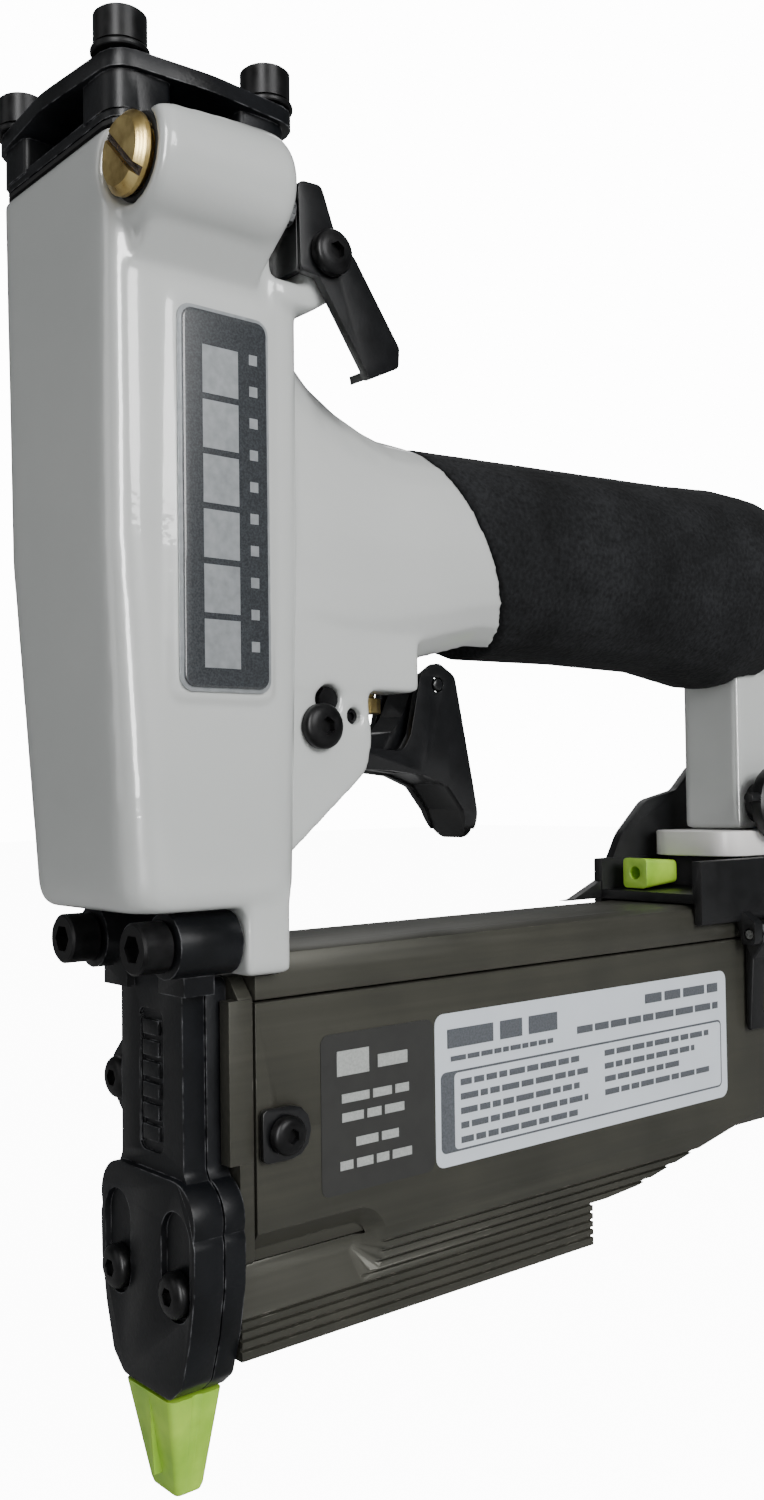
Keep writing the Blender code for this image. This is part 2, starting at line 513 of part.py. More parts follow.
nose_front = plate("nose_front_plate", "YZ", both_sides(NOSE), (-4.1, 0.0), 2.4)
LOWER = [(0, 17.2), (7.2, 17.2), (10.6, 20.0), (13.0, 27.5), (14.4, 35.0), (14.6, 42.0), (13.0, 47.0), (9.8, 51.5),
         (0, 51.5)]
fuse(nose_front, plate("lower_pad", "YZ", both_sides(LOWER), (-5.4, -1.0), 2.4),
     box("front_tongue", (-2.3, 0.0), (-3.9, 3.9), (8.4, 19)))
for side in (-1, 1):
    fuse(nose_front, rod("bolt_boss", "X", (NOSE_BOLT_Y * side, NOSE_BOLT_Z), 5.2, (-8.4, 3.0), segments=20),
         box("boss_web", (-5.6, 0.0), sorted((5.0 * side, 12.6 * side)), (80.5, 88)))
    cut(nose_front,
        rod("bolt_way", "X", (NOSE_BOLT_Y * side, NOSE_BOLT_Z), 2.8, (-12, 6), segments=12),
        plate("screw_slot", "YZ", [(4.9 * side, 30.2, 4), (13.1 * side, 30.2, 4), (13.1 * side, 46.6, 4), (4.9 * side, 46.6, 4)],
              (-8, -4.3), 4),
        rod("screw_way", "X", (NOSE_SCREW_Y * side, NOSE_SCREW_Z), 2.2, (-8, 2), segments=10))
cut(nose_front, box("driver_channel", (-1.3, 1), (-0.95, 0.95), (5, 90)),
    plate("front_recess", "YZ", [(-3.7, 54.4), (3.7, 54.4), (3.7, 77.4), (-3.7, 77.4)], (-6, -3.6), 1.5))
set_look(nose_front, BLACK_CAST)
REAR = [(0, 17.2), (7.2, 17.2), (10.6, 20.0), (13.0, 27.5), (14.4, 35.0), (14.6, 42.0), (13.0, 47.0), (9.6, 52.5),
        (9.5, 79.0), (9.5, 82.6), (0, 82.6)]
nose_rear = plate("nose_rear_plate", "YZ", both_sides(REAR), (0.3, 4.1), 2.4)
fuse(nose_rear, box("rear_tongue", (0.3, 2.1), (-3.9, 3.9), (8.4, 19)),
     plate("side_lug", "YZ", [(8, 57), (17, 57), (20.5, 60.5), (20.5, 66.5), (17, 70), (8, 71)], (0.3, 4.1), 1.6))
cut(nose_rear, box("pin_slot", (-1, 6), (-0.95, 0.95), (24.3, 75.8)),
    rod("lug_way", "X", (16, 63.6), 1.9, (-2, 6), segments=10))
for side in (-1, 1):
    cut(nose_rear, rod("screw_way", "X", (NOSE_SCREW_Y * side, NOSE_SCREW_Z), 2.2, (-2, 6), segments=10))
    label = "left" if side < 0 else "right"
    socket_screw(f"nose_bolt_{label}", "X", (NOSE_BOLT_Y * side, NOSE_BOLT_Z), -8.7, -1, (4.25, 5.3), (2.4, 19.0))
    socket_screw(f"nose_screw_{label}", "X", (NOSE_SCREW_Y * side, NOSE_SCREW_Z), -4.6, -1, (3.6, 2.4), (1.9, 8.4),
                 hex_size=2.5)
set_look(nose_rear, BLACK_CAST)
socket_screw("lug_screw", "X", (16, 63.6), -0.0, -1, (3.6, 2.6), (1.6, 7.2), hex_size=2.5)
tip = loft("no_mar_tip", [upright_ring(*ring) for ring in (
    (0.0, -2.3, 2.5, 3.8, 0.9), (1.0, -2.6, 2.8, 4.2, 0.9), (16.6, -5.4, 4.6, 7.2, 1.4))])
cut(tip, box("tongue_socket", (-2.6, 2.4), (-4.2, 4.2), (8.1, 20)),
    box("exit_hole", (-1.3, -0.05), (-0.95, 0.95), (-1, 9)))
set_look(tip, GREEN)

# The magazine: fixed front plate, rail and rear stop, and the sliding cover with its ribbed grip.
front_plate = plate("magazine_front_plate", "YZ", [(-12.6, 36.6), (12.6, 36.6), (12.6, 79), (9.5, 82.6), (-9.5, 82.6), (-12.6, 79)],
                    (4.5, 7.2), 1.5)
fuse(front_plate, plate("plate_lug", "YZ", [(10, 57), (17, 57), (20.5, 60.5), (20.5, 66.5), (17, 70), (10, 71)], (4.5, 7.2), 1.6),
     box("side_strip", (2.6, 7.0), (-12.7, -10.0), (53, 79)))
cut(front_plate, box("pin_slot", (0, 10), (-0.95, 0.95), (24.3, 75.8)),
    rod("lug_thread", "X", (16, 63.6), 1.9, (0, 10), segments=10))
set_look(front_plate, OLIVE)
rail = plate("magazine_rail", "YZ", [
    (-10.4, GRIP_TOP + 0.4), (HALF_MAGAZINE, GRIP_TOP + 0.4), (HALF_MAGAZINE, RAIL_TOP, 2.6), (-HALF_MAGAZINE, RAIL_TOP, 2.6),
    (-HALF_MAGAZINE, PANEL_TOP + 0.4), (-10.4, PANEL_TOP + 0.4)], (COVER_FRONT, MAGAZINE_END), 0.3, 2)
cut(rail, box("pin_channel", (0, 200), (-0.95, 0.95), (30, 77)),
    box("pusher_channel", (0, 200), (-4.5, 4.5), (76, 82.7)),
    box("leg_room", (0, 12.3), (-20, 20), (82.6, 90)))
set_look(rail, OLIVE)
cover = plate("magazine_cover", "YZ", [
    (-HALF_MAGAZINE, PANEL_TOP), (-10.7, PANEL_TOP), (-10.7, GRIP_TOP), (HALF_MAGAZINE, GRIP_TOP), (HALF_MAGAZINE, COVER_BOTTOM),
    (-HALF_MAGAZINE, COVER_BOTTOM)], (4.5, MAGAZINE_END), 0.3, 2)
cut(cover, box("strip_room", (0, COVER_FRONT), (-20, 20), (GRIP_TOP - 0.6, 90)),
    box("pin_groove", (0, 200), (-0.95, 0.95), (24.5, 40)),
    plate("rear_rise", "XZ", [(88, 10), (88, 30), (102, 31), (146, 39.6), (170, 44), (170, 10)], (-20, 20)),
    plate("window", "XZ", [(0, 33.0, 0), (27.0, 33.0), (27.0, 37.4), (0, 37.4, 0)], (-20, -10.2), 2.1))
set_look(cover, OLIVE)
hook = plate("cover_bracket", "XZ", [(7.9, 52.7, 1), (17.4, 52.7, 4), (17.4, 61.3, 4), (7.9, 61.3, 1)], (-14.3, -13.1), 1.0)
cut(hook, rod("hook_way", "Y", (12.2, 56.9), 1.7, (-20, -10), segments=10))
set_look(hook, BLACK_STEEL)
cut(cover, rod("hook_thread", "Y", (12.2, 56.9), 1.7, (-20, -10.2), segments=10))
socket_screw("cover_bracket_screw", "Y", (12.2, 56.9), -14.6, -1, (3.2, 1.9), (1.4, 3.4), hex_size=2.2)
pins = box("pin_strip", (0.45, 58.0), (-0.32, 0.32), (25.0, 75.0))
set_look(pins, STEEL)
pusher = box("pusher", (58.4, 72.0), (-0.6, 0.6), (37.0, 77.5))
fuse(pusher, box("pusher_body", (58.4, 72.0), (-4.2, 4.2), (77.3, 82.5)))
cut(pusher, rod("spring_pocket", "Y", (65.5, 80.0), 2.0, (-6, 2.6), segments=16))
set_look(pusher, STEEL)
roll = turned("pusher_spring_roll", "Y", (65.5, 0, 80.0), [(1.7, 2.3), (1.7, -3.8), (0.8, -3.8), (0.8, 2.3)], 16, ring=True)
set_look(roll, STEEL)
stop = box("magazine_rear_stop", (MAGAZINE_END + GAP, MAGAZINE_END + 4), (-10.2, 12.4), (44, 86.4))
set_look(stop, OLIVE)

# The rear saddle ties magazine to handle leg, keeps the spare tip, and carries the cover's latch.
SADDLE_TOP = 96.1
saddle = plate("rear_saddle", "YZ", [
    (-15.0, 82.4), (-13.1, 82.4), (-13.1, 87.0), (13.1, 87.0), (13.1, 84.0), (15.0, 84.0), (15.0, SADDLE_TOP),
    (-15.0, SADDLE_TOP)], (122.0, 169.4), 0.5, 2)
cut(saddle, box("tip_store", (100, 146), (-12.6, 12.6), (89.0, 100)))
FENDER = [(108, 87.0, 1), (112.5, 87.2, 4), (123.4, 91.6), (129.5, 101.5, 8), (138.6, 109.2, 6), (150, 111.5, 4), (156.5, 117.0, 1),
          (160, 117.0, 0.5), (160, 87.0, 0)]
fuse(saddle, plate("fender", "XZ", FENDER, (12.9, 15.0)))
LATCH_PIN = (-16.6, 79.6)
for ends in ((136.4, 139.2), (166.4, 169.0)):
    fuse(saddle, plate("latch_ear", "YZ", [(-15.0, 84.5, 0), (-13.1, 84.5, 0), (-14.8, 77.3, 0), (-18.2, 77.3), (-18.2, 82.4)],
                       ends, 1.2))
cut(saddle, rod("latch_pin_way", "X", LATCH_PIN, 1.3, (130, 175), segments=10))
for across in (-5.5, 5.5):
    cut(saddle, rod("foot_screw_way", "Z", (160, across), 1.8, (80, 100), segments=10))
set_look(saddle, BLACK_PLASTIC)
latch = plate("magazine_latch", "YZ", [
    (-14.6, 58.0), (-13.3, 58.0), (-13.3, 77.2), (-14.6, 82.0), (-18.3, 82.0), (-18.3, 77.6), (-15.6, 74.0)],
    (139.6, 166.0), 0.6)
cut(latch, rod("latch_pin_bore", "X", LATCH_PIN, 1.3, (130, 175), segments=10),
    box("latch_slot", (144, 149), (-20, -12), (62, 71)))
set_look(pivot_at(latch, 152, *LATCH_PIN), BLACK_PLASTIC)
set_look(rod("latch_pin", "X", LATCH_PIN, 1.0, (136.6, 168.8), segments=12), STEEL)
foot = plate("leg_foot", "XY", [(137.2, -12), (171.5, -12), (171.5, 12), (137.2, 12)], (96.4, 102.1), 6.0, 4)
for across in (-5.5, 5.5):
    cut(foot, rod("foot_way", "Z", (160, across), 1.8, (90, 110), segments=10))
    label = "left" if across < 0 else "right"
    cut(rail, rod("foot_head_room", "Z", (160, across), 3.8, (83.4, 95), segments=14))
    cut(saddle, rod("foot_head_seat", "Z", (160, across), 3.8, (80, 88.2), segments=14))
    socket_screw(f"foot_screw_{label}", "Z", (160, across), 87.9, -1, (3.4, 3.2), (1.5, 24.0), hex_size=2.5)
set_look(foot, WHITE)
spare = loft("spare_tip", [[(place, y, z) for y, z in rounded(
    [(6 - half, 92.8 - half), (6 + half, 92.8 - half), (6 + half, 92.8 + half), (6 - half, 92.8 + half)], 1.0)]
    for place, half in ((125.6, 3.4), (137.4, 2.6))])
cut(spare, rod("peg_bore", "X", (6, 92.8), 1.5, (118, 150), segments=12))
set_look(spare, GREEN)
hub = turned("hook_hub", "Y", (HUB[0], 0, HUB[1]), [
    (0, -8.3), (4.6, -8.3), (4.6, -12.6), (8.4, -12.6), (8.6, -13.4), (8.6, -15.4), (7.4, -16.8), (0, -16.8)], 28)
fuse(hub, rod("hub_peg", "X", (-14.2, 109.6), 1.2, (HUB[0] - 11.6, HUB[0] - 5), segments=10))
cut(hub, rod("hub_way", "Y", HUB, 1.9, (-20, -5), segments=10))
set_look(hub, BLACK_PLASTIC)
socket_screw("hub_screw", "Y", HUB, -17.1, -1, (3.0, 1.8), (1.5, 18.0), hex_size=2.2)

# The handle's end: cap, seal and the air plug.
end_cap = turned("end_cap", "X", (0, 0, HANDLE_Z), [
    (4.9, 168.0), (10.6, 168.0), (10.6, 176.3), (14.8, 176.3), (15.0, 178.0), (15.0, 183.0), (13.2, 185.0), (4.9, 185.0)],
    28, ring=True)
set_look(end_cap, BLACK_CAST)
plug = turned("air_plug", "X", (0, 0, HANDLE_Z), [
    (2.6, 172.0), (4.6, 172.0), (4.6, 185.3), (5.6, 185.3), (5.6, 198.5), (3.9, 199.5), (3.9, 206.0), (5.9, 207.0),
    (5.9, 212.0), (5.2, 213.0), (5.2, 219.0), (4.4, 221.0), (2.6, 221.0)], 24, ring=True)
fuse(plug, hexagon("plug_hex", "X", (0, HANDLE_Z), 13.6, (185.6, 192.4)))
cut(plug, rod("plug_bore", "X", (0, HANDLE_Z), 2.6, (170, 225), segments=24))
set_look(plug, STEEL)

# The badge: a domed plate on the barrel's left side.
badge = plate("badge", "XZ", [(-10.2, 127.6), (6.4, 127.6), (6.4, 186.6), (-10.2, 186.6)], (-20.4, -19.9), 1.6)
set_look(badge, BADGE)
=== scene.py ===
import math
import random

import bpy
from mathutils import Matrix, Vector


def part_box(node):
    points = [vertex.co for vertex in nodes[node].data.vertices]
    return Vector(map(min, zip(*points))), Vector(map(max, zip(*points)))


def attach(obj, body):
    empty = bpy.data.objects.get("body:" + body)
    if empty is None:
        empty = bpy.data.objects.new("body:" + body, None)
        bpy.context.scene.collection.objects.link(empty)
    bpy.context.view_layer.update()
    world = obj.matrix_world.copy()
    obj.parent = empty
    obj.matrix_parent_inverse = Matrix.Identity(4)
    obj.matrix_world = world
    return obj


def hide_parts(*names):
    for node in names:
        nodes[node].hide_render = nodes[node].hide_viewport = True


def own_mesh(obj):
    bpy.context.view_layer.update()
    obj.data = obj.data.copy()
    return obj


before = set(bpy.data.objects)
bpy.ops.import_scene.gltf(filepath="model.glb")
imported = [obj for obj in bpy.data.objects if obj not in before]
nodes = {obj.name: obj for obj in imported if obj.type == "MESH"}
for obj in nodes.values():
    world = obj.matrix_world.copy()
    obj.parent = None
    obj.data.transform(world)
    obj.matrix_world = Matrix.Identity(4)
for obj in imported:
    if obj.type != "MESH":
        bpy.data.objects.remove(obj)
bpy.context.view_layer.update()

mm = 0.001

# ---------------------------------------------------------------- Camera
# A camera at the tool's front left, a little over the height of the trigger, looking level.
lens_view = bpy.data.cameras.new("camera")
lens_view.sensor_fit = "VERTICAL"
lens_view.sensor_height = 36
lens_view.lens = 32.77
lens_view.clip_start = 0.01
camera = bpy.data.objects.new("camera", lens_view)
camera.matrix_world = Matrix(((0.7642, -0.00945, -0.6449, -0.11877), (-0.6448, -0.0319, -0.7637, -0.19487),
                              (-0.01335, 0.99945, -0.03045, 0.11206), (0, 0, 0, 1)))
bpy.context.scene.collection.objects.link(camera)
bpy.context.scene.camera = camera


# ---------------------------------------------------------------- Floor
# A plain pale studio floor under the tool: matt white card, dull all over, with only a faint change
# of tone. It glows for the camera alone, so that it comes out white without lighting the tool.
def linear(code):
    """An sRGB hex colour as linear RGBA."""
    parts = [int(code[i:i + 2], 16) / 255 for i in (0, 2, 4)]
    return (*[c / 12.92 if c <= 0.04045 else ((c + 0.055) / 1.055) ** 2.4 for c in parts], 1)


def add_node(tree, kind, settings=None, **links):
    """A shader node with its properties or input values set, and its inputs linked."""
    made = tree.nodes.new(kind)
    for key, value in (settings or {}).items():
        if isinstance(key, int):
            made.inputs[key].default_value = value
        elif hasattr(made, key):
            setattr(made, key, value)
        else:
            made.inputs[key].default_value = value
    for key, source in links.items():
        slot = int(key[1:]) if key[0] == "i" and key[1:].isdigit() else key.replace("_", " ")
        tree.links.new(made.inputs[slot], source)
    return made


def new_material(name, **values):
    """A Principled material with its uniform values set on the shader's own sockets."""
    material = bpy.data.materials.new(name)
    material.use_nodes = True
    shader = material.node_tree.nodes["Principled BSDF"]
    for key, value in values.items():
        shader.inputs[key.replace("_", " ")].default_value = value
    return material, material.node_tree, shader


def noise(tree, scale, detail, vector=None):
    """Cloudy noise in the object's own space; the scale is about how many blobs stand in a metre."""
    if vector is None:
        vector = add_node(tree, "ShaderNodeTexCoord").outputs["Object"]
    made = add_node(tree, "ShaderNodeTexNoise", {"Scale": scale, "Detail": detail}, Vector=vector)
    return made.outputs["Fac"]


card, tree, shader = new_material("white_card", Roughness=0.9)
shader.inputs["Emission Color"].default_value = (1, 1, 1, 1)
looked_at = add_node(tree, "ShaderNodeLightPath")
glow = add_node(tree, "ShaderNodeMath", {"operation": "MULTIPLY", 1: 12.0},
                i0=looked_at.outputs["Is Camera Ray"])
tree.links.new(shader.inputs["Emission Strength"], glow.outputs[0])
tone = noise(tree, 3.0, 2.0)
ramp = add_node(tree, "ShaderNodeMapRange", {"To Min": 0.60, "To Max": 0.62}, Value=tone)
mixed = add_node(tree, "ShaderNodeCombineColor", {}, Red=ramp.outputs[0], Green=ramp.outputs[0],
                 Blue=ramp.outputs[0])
tree.links.new(shader.inputs["Base Color"], mixed.outputs[0])

bpy.ops.object.select_all(action="DESELECT")
bpy.ops.mesh.primitive_plane_add(size=6, location=(0, 0, -0.0005))
floor = bpy.context.object
floor.name = "floor"
floor.data.materials.append(card)

# ---------------------------------------------------------------- Lights
# Soft boxes: a tall strip that only shines down the near corner, a broad one at the tool's left, and
# weak ones in front, above and behind. The sky is a faint fill, and only the camera sees it white.
def soft_box(name, place, aim, size, power, shines_only=False):
    """A soft box; one that shines only is seen in gloss but lights nothing."""
    lamp = bpy.data.lights.new(name, "AREA")
    lamp.shape = "RECTANGLE"
    lamp.size, lamp.size_y = size
    lamp.energy = power
    holder = bpy.data.objects.new(name, lamp)
    holder.location = place
    holder.rotation_euler = (Vector(aim) - Vector(place)).to_track_quat("-Z", "Y").to_euler()
    holder.visible_diffuse = not shines_only
    bpy.context.scene.collection.objects.link(holder)


middle = (0.05, 0, 0.12)
soft_box("strip", (-0.66, -0.58, 0.25), middle, (0.2, 1.1), 24.0, shines_only=True)
soft_box("side", (0.05, -1.15, 0.60), middle, (0.6, 0.5), 16.0)
soft_box("front", (-1.0, 0.35, 0.35), middle, (0.5, 0.9), 2.5)
soft_box("above", (0.0, -0.5, 1.2), middle, (1.0, 1.0), 2.2)
soft_box("behind", (0.6, 0.8, 1.0), middle, (0.6, 0.6), 2.0)
sky = bpy.context.scene.world or bpy.data.worlds.new("studio")
bpy.context.scene.world = sky
sky.use_nodes = True
tree = sky.node_tree
fill = tree.nodes["Background"]
fill.inputs["Color"].default_value = linear("EEF2F4")
fill.inputs["Strength"].default_value = 0.13
backdrop = add_node(tree, "ShaderNodeBackground", {"Color": linear("FFFFFF"), "Strength": 14.0})
seen = add_node(tree, "ShaderNodeLightPath")
blend = add_node(tree, "ShaderNodeMixShader", {}, i0=seen.outputs["Is Camera Ray"], i1=fill.outputs[0],
                 i2=backdrop.outputs[0])
tree.links.new(tree.nodes["World Output"].inputs["Surface"], blend.outputs[0])


# ---------------------------------------------------------------- Housing
# The housing is one die-cast body, sprayed and baked with light grey gloss enamel. Every edge of
# the casting is soft and the duster boss runs into the barrel in a broad hollow.
# Enamel has a wet, sharp shine over a faint orange peel about 1.5 mm across.
def two_tones(tree, shader, pattern, dark, light, low=0.0, high=1.0):
    """A base colour that runs from one tone to the other as the pattern does."""
    tint = add_node(tree, "ShaderNodeValToRGB", {}, Fac=pattern)
    for stop, place, code in zip(tint.color_ramp.elements, (low, high), (dark, light)):
        stop.position, stop.color = place, linear(code)
    tree.links.new(shader.inputs["Base Color"], tint.outputs["Color"])


def bumped(tree, shader, pattern, strength, distance):
    """A fine relief in the skin, its distance in metres."""
    skin = add_node(tree, "ShaderNodeBump", {"Strength": strength, "Distance": distance}, Height=pattern)
    tree.links.new(shader.inputs["Normal"], skin.outputs["Normal"])
    return skin.outputs["Normal"]


enamel, tree, shader = new_material("grey_enamel_sprayed", Roughness=0.3, Coat_Weight=0.8,
                                    Coat_Roughness=0.04)
cloud = noise(tree, 14.0, 3.0)
two_tones(tree, shader, cloud, "C3C6C4", "CDCFCD", 0.3, 0.7)
peel = noise(tree, 650.0, 1.5)
sag = noise(tree, 160.0, 1.0)
waves = add_node(tree, "ShaderNodeMath", {"operation": "MULTIPLY_ADD", 1: 3.0}, i0=sag, i2=peel)
relief = bumped(tree, shader, waves.outputs[0], 0.22, 0.00012)
tree.links.new(shader.inputs["Coat Normal"], relief)


def new_object(name, data):
    """An object in the scene that holds this mesh."""
    made = bpy.data.objects.new(name, data)
    bpy.context.scene.collection.objects.link(made)
    return made


def only(*pieces):
    """Leaves just these objects selected, the first of them active."""
    bpy.ops.object.select_all(action="DESELECT")
    for piece in pieces:
        piece.select_set(True)
    bpy.context.view_layer.objects.active = pieces[0]
    return pieces[0]


def shade(piece, degrees):
    """Smooth shading, with edges sharper than the angle left crisp."""
    only(piece)
    bpy.ops.object.shade_smooth_by_angle(angle=math.radians(degrees))


def merged_copy(node, name):
    """A copy of a CAD node's mesh with its loose triangles joined and its flat faces made whole."""
    piece = new_object(name, nodes[node].data.copy())
    piece.data.materials.clear()
    only(piece)
    bpy.ops.object.mode_set(mode="EDIT")
    bpy.ops.mesh.select_all(action="SELECT")
    bpy.ops.mesh.remove_doubles(threshold=0.000004)
    bpy.ops.mesh.dissolve_limited(angle_limit=math.radians(0.6))
    bpy.ops.object.mode_set(mode="OBJECT")
    return piece


def apply_modifier(piece, kind, **settings):
    """Adds a modifier with its settings and applies it."""
    only(piece)
    step = piece.modifiers.new(kind.lower(), kind)
    for key, value in settings.items():
        setattr(step, key, value)
    bpy.ops.object.modifier_apply(modifier=step.name)
    return piece


def join_in(piece, tool, operation="UNION"):
    """Adds a shape to a piece, or takes it away, and removes the tool."""
    apply_modifier(piece, "BOOLEAN", operation=operation, object=tool, solver="EXACT")
    bpy.data.objects.remove(tool, do_unlink=True)
    return piece


def block(low, high):
    """A box between two corners given in millimetres."""
    bpy.ops.object.select_all(action="DESELECT")
    centre = [(a + b) / 2 * mm for a, b in zip(low, high)]
    bpy.ops.mesh.primitive_cube_add(size=1, location=centre)
    made = bpy.context.object
    made.scale = [(b - a) * mm for a, b in zip(low, high)]
    bpy.ops.object.transform_apply(location=True, rotation=True, scale=True)
    return made


def bar(centre, radius, length, axis="Z", end_radius=None, sides=48):
    """A round bar, or a cone, along an axis, in millimetres."""
    bpy.ops.object.select_all(action="DESELECT")
    turn = {"X": (0, math.pi / 2, 0), "Y": (-math.pi / 2, 0, 0), "Z": (0, 0, 0)}[axis]
    bpy.ops.mesh.primitive_cone_add(vertices=sides, radius1=radius * mm, rotation=turn, depth=length * mm,
                                    radius2=(radius if end_radius is None else end_radius) * mm,
                                    location=[c * mm for c in centre])
    made = bpy.context.object
    bpy.ops.object.transform_apply(location=True, rotation=True, scale=True)
    return made


def smoothed(piece, voxel, rounds, factor=0.5):
    """Remeshes a casting evenly and relaxes it, which rounds its edges and fills its corners."""
    apply_modifier(piece, "REMESH", mode="VOXEL", voxel_size=voxel * mm)
    apply_modifier(piece, "SMOOTH", factor=factor, iterations=rounds)
    only(piece)
    bpy.ops.object.shade_smooth()
    return piece


nozzle_y, nozzle_z = -22.3, 205.2
stop_x, stop_z = 29.7, 125.2
housing = merged_copy("housing", "housing_casting")
# The barrel's, handle's and duster's bores are filled, so that the remesh closes over solid metal.
for core in (bar((-0.65, 0, 150), 13.8, 100), bar((120, 0, 158.8), 11.4, 104, "X"),
             bar((-4, nozzle_y, nozzle_z), 5.4, 22, "X")):
    join_in(housing, core)
under_boss = block((-17.6, -28.3, 190.4), (4.6, -17, 199))
for corner in under_boss.data.vertices:
    if corner.co.z < 195 * mm and corner.co.y < -20 * mm:
        corner.co.y = -18.6 * mm
join_in(housing, under_boss)
smoothed(housing, 0.62, 14)
for opening in (bar((21.7, -14, 123.2), 2.0, 8, "Y"), bar((stop_x, -12, stop_z), 1.45, 6, "Y"),
                bar((24, -12, 127.9), 2.2, 8, "Y")):
    join_in(housing, opening, "DIFFERENCE")
shade(housing, 40)
housing.data.materials.append(enamel)
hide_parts("housing")
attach(housing, "tool")

# ---------------------------------------------------------------- Grip sleeve
# A moulded foam-rubber sleeve pulled over the handle's core, with its ends rolled in a little. Its
# skin is matt and finely pitted: the real pits are about 0.4 mm across, and are drawn at 0.9 mm.
rubber, tree, shader = new_material("foam_rubber_moulded", Roughness=0.9, Specular_IOR_Level=0.12,
                                    Sheen_Weight=0.02, Sheen_Roughness=0.5)
cells = noise(tree, 1150.0, 4.0)
patches = noise(tree, 60.0, 4.0)
both = add_node(tree, "ShaderNodeMath", {"operation": "MULTIPLY"}, i0=cells, i1=patches)
two_tones(tree, shader, both.outputs[0], "08090A", "232426", 0.12, 0.40)
bumped(tree, shader, cells, 0.8, 0.0003)

sleeve = smoothed(merged_copy("grip_sleeve", "grip_sleeve_moulding"), 0.6, 5)
sleeve.data.materials.append(rubber)
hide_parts("grip_sleeve")
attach(sleeve, "tool")

# ---------------------------------------------------------------- Black castings
# Cap, nose plates and handle end are cast, then coated with a thin satin black epoxy, rubbed through
# in bright flecks along some edges. The coat's grain is about 0.3 mm, and is drawn at 0.7 mm.
def roughened(tree, shader, pattern, least, most, low=0.0, high=1.0):
    """A roughness that runs between two values as the pattern goes from low to high."""
    gloss = add_node(tree, "ShaderNodeMapRange", {"From Min": low, "From Max": high, "To Min": least,
                                                  "To Max": most}, Value=pattern)
    tree.links.new(shader.inputs["Roughness"], gloss.outputs[0])


epoxy, tree, shader = new_material("black_epoxy_casting", Specular_IOR_Level=0.2)
grain = noise(tree, 1500.0, 4.0)
cloud = noise(tree, 90.0, 3.0)
two_tones(tree, shader, cloud, "08090B", "121418", 0.3, 0.75)
roughened(tree, shader, cloud, 0.28, 0.5, 0.3, 0.7)
bumped(tree, shader, grain, 0.3, 0.00008)


def worn_edges(tree, reach, spots, least, most):
    """A mask of the rubbed flecks along sharp edges: reach in mm, spots the flecks' noise scale."""
    rounded = add_node(tree, "ShaderNodeBevel", {"samples": 6, "Radius": reach * mm})
    flat = add_node(tree, "ShaderNodeNewGeometry")
    turn = add_node(tree, "ShaderNodeVectorMath", {"operation": "DOT_PRODUCT"}, i0=rounded.outputs[0],
                    i1=flat.outputs["Normal"])
    edge = add_node(tree, "ShaderNodeMapRange", {"From Min": 0.995, "From Max": 0.93},
                    Value=turn.outputs["Value"])
    flecks = noise(tree, spots, 4.0)
    sparse = add_node(tree, "ShaderNodeMapRange", {"From Min": least, "From Max": most}, Value=flecks)
    mask = add_node(tree, "ShaderNodeMath", {"operation": "MULTIPLY"}, i0=edge.outputs[0],
                    i1=sparse.outputs[0])
    return mask.outputs[0]


def wear(tree, shader, mask, colour):
    """Mixes the bare metal's colour over the coat where the mask says."""
    coat = shader.inputs["Base Color"].links[0].from_socket
    bare = add_node(tree, "ShaderNodeMix", {"data_type": "RGBA", 7: linear(colour)}, i0=mask, i6=coat)
    tree.links.new(shader.inputs["Base Color"], bare.outputs[2])


wear(tree, shader, worn_edges(tree, 0.35, 420.0, 0.42, 0.66), "6E6F72")


def ease_edges(piece, width, segments, degrees):
    """Rounds the edges sharper than the angle to the width, in millimetres."""
    apply_modifier(piece, "BEVEL", width=width * mm, segments=segments, limit_method="ANGLE",
                   angle_limit=math.radians(degrees))


def eased_copy(node, name, width):
    """A CAD node's shape with its sharp edges rounded to the width, in millimetres."""
    piece = merged_copy(node, name)
    ease_edges(piece, width, 3, 32)
    shade(piece, 50)
    return piece


def nose_shoulders(piece, back, front):
    """A nose plate's round shoulders over its two screws, between two distances along X in millimetres."""
    for side in (-1, 1):
        join_in(piece, bar(((back + front) / 2, 8.37 * side, 45.3), 6.17, back - front, "X", sides=50))


# Six cast blocks and a thin bar stand proud of the front plate.
raised = [block((-4.25, -2.5, 56.2 + 3.4 * step), (-3.3, 2.3, 58.6 + 3.4 * step)) for step in range(6)]
raised.append(block((-4.25, 2.9, 55.6), (-3.3, 3.4, 76.2)))
only(*raised)
bpy.ops.object.join()
raised = bpy.context.object
screw_y, screw_z = 9.0, 34.1
for node, width, segments, crisp in (("top_cap", 0.5, 3, 50), ("nose_front_plate", 0.3, 2, 40),
                                     ("nose_rear_plate", 0.3, 2, 40), ("end_cap", 0.4, 3, 50)):
    piece = merged_copy(node, f"{node}_casting")
    if node == "nose_front_plate":
        nose_shoulders(piece, -0.03, -5.37)
        for side in (-1, 1):
            cutter = bar((-6.26, screw_y * side, 42.7), 4.2, 4.0, "X", sides=46)
            for corner in cutter.data.vertices:
                corner.co.z -= 8.7 * mm * (corner.co.z < 42.65 * mm)
            join_in(piece, cutter, "DIFFERENCE")
        join_in(piece, raised)
    elif node == "nose_rear_plate":
        nose_shoulders(piece, 4.07, 0.33)
        for side in (-1, 1):
            join_in(piece, bar((2, screw_y * side, screw_z), 2.3, 8, "X", sides=22), "DIFFERENCE")
    ease_edges(piece, width, segments, 32)
    shade(piece, crisp)
    piece.data.materials.append(epoxy)
    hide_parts(node)
    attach(piece, "tool")

